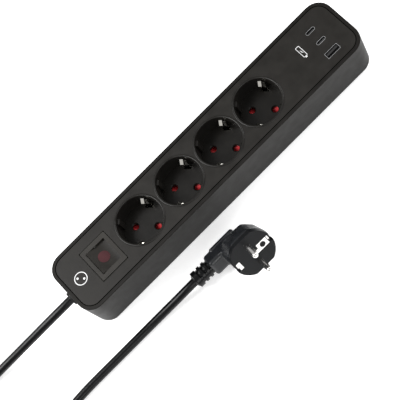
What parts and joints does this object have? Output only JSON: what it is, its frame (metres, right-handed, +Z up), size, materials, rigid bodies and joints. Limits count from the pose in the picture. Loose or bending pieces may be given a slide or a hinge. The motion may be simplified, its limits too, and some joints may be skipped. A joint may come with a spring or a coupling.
{
  "type": "power strip",
  "caption": "Flat bar-shaped mains power strip: round recessed sockets turned 45 degrees, an illuminated rocker switch at the cord end, USB ports at the other, and a corded angled plug.",
  "frame": {"origin": "centre of the underside of the housing, without the cord and plug", "axes": "+X along the strip from the cord end to the USB end, +Y across it away from the plug, +Z up out of the sockets"},
  "size_m": [0.5213, 0.1322, 0.0449],
  "materials": {
    "shell_plastic": "fine satin texture",
    "plate_plastic": "fine satin texture",
    "rocker_plastic": "satin",
    "inner_plastic": "satin",
    "bezel_plastic": "satin",
    "fittings_plastic": "matt",
    "red_plastic": "semi-gloss",
    "red_lens": "translucent, dull",
    "lamp_glass": "clear",
    "brass": "stamped strip",
    "clip_nickel": "nickel-plated spring strip",
    "plug_nickel": "nickel-plated, turned",
    "port_steel": "stamped shell",
    "port_plastic": "matt",
    "board": "solder-mask gloss",
    "transformer_tape": "polyester tape",
    "capacitor_sleeve": "shrink sleeve",
    "white_plastic": "natural nylon",
    "brown_pvc": "PVC insulation",
    "blue_pvc": "PVC insulation",
    "green_yellow_pvc": "PVC insulation",
    "cord_pvc": "soft PVC sheath",
    "tie_plastic": "soft PVC",
    "plug_pvc": "moulded soft PVC, semi-gloss",
    "plug_face_plastic": "moulded",
    "screw_steel": "zinc plated"
  },
  "bodies": {
    "root": {"base_shell": "shell_plastic", "top_plate": "plate_plastic", "socket_well_1": "inner_plastic", "socket_well_2": "inner_plastic", "socket_well_3": "inner_plastic", "socket_well_4": "inner_plastic", "shutter_spring_1": "screw_steel", "shutter_spring_2": "screw_steel", "shutter_spring_3": "screw_steel", "shutter_spring_4": "screw_steel", "earth_clip_1": "clip_nickel", "earth_clip_2": "clip_nickel", "earth_clip_3": "clip_nickel", "earth_clip_4": "clip_nickel", "shutter_washers": "screw_steel", "earth_bar": "brass", "earth_rivets": "plug_nickel", "line_bar": "brass", "neutral_bar": "brass", "line_clips": "brass", "neutral_clips": "brass", "switch_housing": "bezel_plastic", "switch_terminals": "brass", "charger_board": "board", "charger_transformer": "transformer_tape", "charger_capacitors": "capacitor_sleeve", "charger_screws": "screw_steel", "usb_a_shell": "port_steel", "usb_a_tongue": "port_plastic", "usb_c_shells": "port_steel", "usb_c_tongues": "port_plastic", "brown_wires": "brown_pvc", "blue_wires": "blue_pvc", "earth_wire": "green_yellow_pvc", "cord_bushing": "fittings_plastic", "cord_clamp": "fittings_plastic", "clamp_screws": "screw_steel", "housing_screws": "screw_steel", "cord_strip_side": "cord_pvc", "cord_coil": "cord_pvc", "cord_tie": "tie_plastic", "cord_plug_side": "cord_pvc", "plug_body": "plug_pvc", "plug_face": "plug_face_plastic", "plug_pins": "plug_nickel", "plug_earth_contact": "plug_nickel", "plug_strain_relief": "plug_pvc"},
    "rocker": {"rocker": "rocker_plastic", "rocker_lens": "red_lens", "neon_lamp": "lamp_glass", "switch_plungers": "white_plastic", "plunger_springs": "screw_steel"},
    "switch_blades": {"switch_blades": "brass"},
    "shutter_1": {"shutter_1": "red_plastic"},
    "shutter_2": {"shutter_2": "red_plastic"},
    "shutter_3": {"shutter_3": "red_plastic"},
    "shutter_4": {"shutter_4": "red_plastic"}
  },
  "joints": [
    {"name": "rocker_tilt", "type": "hinge", "parent": "root", "child": "rocker", "pos_m": [-0.1124, 0, 0.0403], "axis": [0, -1, 0], "range_deg": [0, 22]},
    {"name": "blades_tilt", "type": "hinge", "parent": "root", "child": "switch_blades", "pos_m": [-0.1124, 0, 0.0272], "axis": [0, 1, 0], "range_deg": [0, 16]},
    {"name": "shutter_1_turn", "type": "hinge", "parent": "root", "child": "shutter_1", "pos_m": [-0.0723, 0, 0.02], "axis": [0, 0, 1], "range_deg": [0, 42], "stiffness_Nm_per_rad": 0.002, "springref_deg": -17.19},
    {"name": "shutter_2_turn", "type": "hinge", "parent": "root", "child": "shutter_2", "pos_m": [-0.0286, 0, 0.02], "axis": [0, 0, 1], "range_deg": [0, 42], "stiffness_Nm_per_rad": 0.002, "springref_deg": -17.19},
    {"name": "shutter_3_turn", "type": "hinge", "parent": "root", "child": "shutter_3", "pos_m": [0.0151, 0, 0.02], "axis": [0, 0, 1], "range_deg": [0, 42], "stiffness_Nm_per_rad": 0.002, "springref_deg": -17.19},
    {"name": "shutter_4_turn", "type": "hinge", "parent": "root", "child": "shutter_4", "pos_m": [0.0588, 0, 0.02], "axis": [0, 0, 1], "range_deg": [0, 42], "stiffness_Nm_per_rad": 0.002, "springref_deg": -17.19}
  ],
  "couplings": [
    {"joint": "blades_tilt", "follows": "rocker_tilt", "ratio": 0.72727}
  ]
}
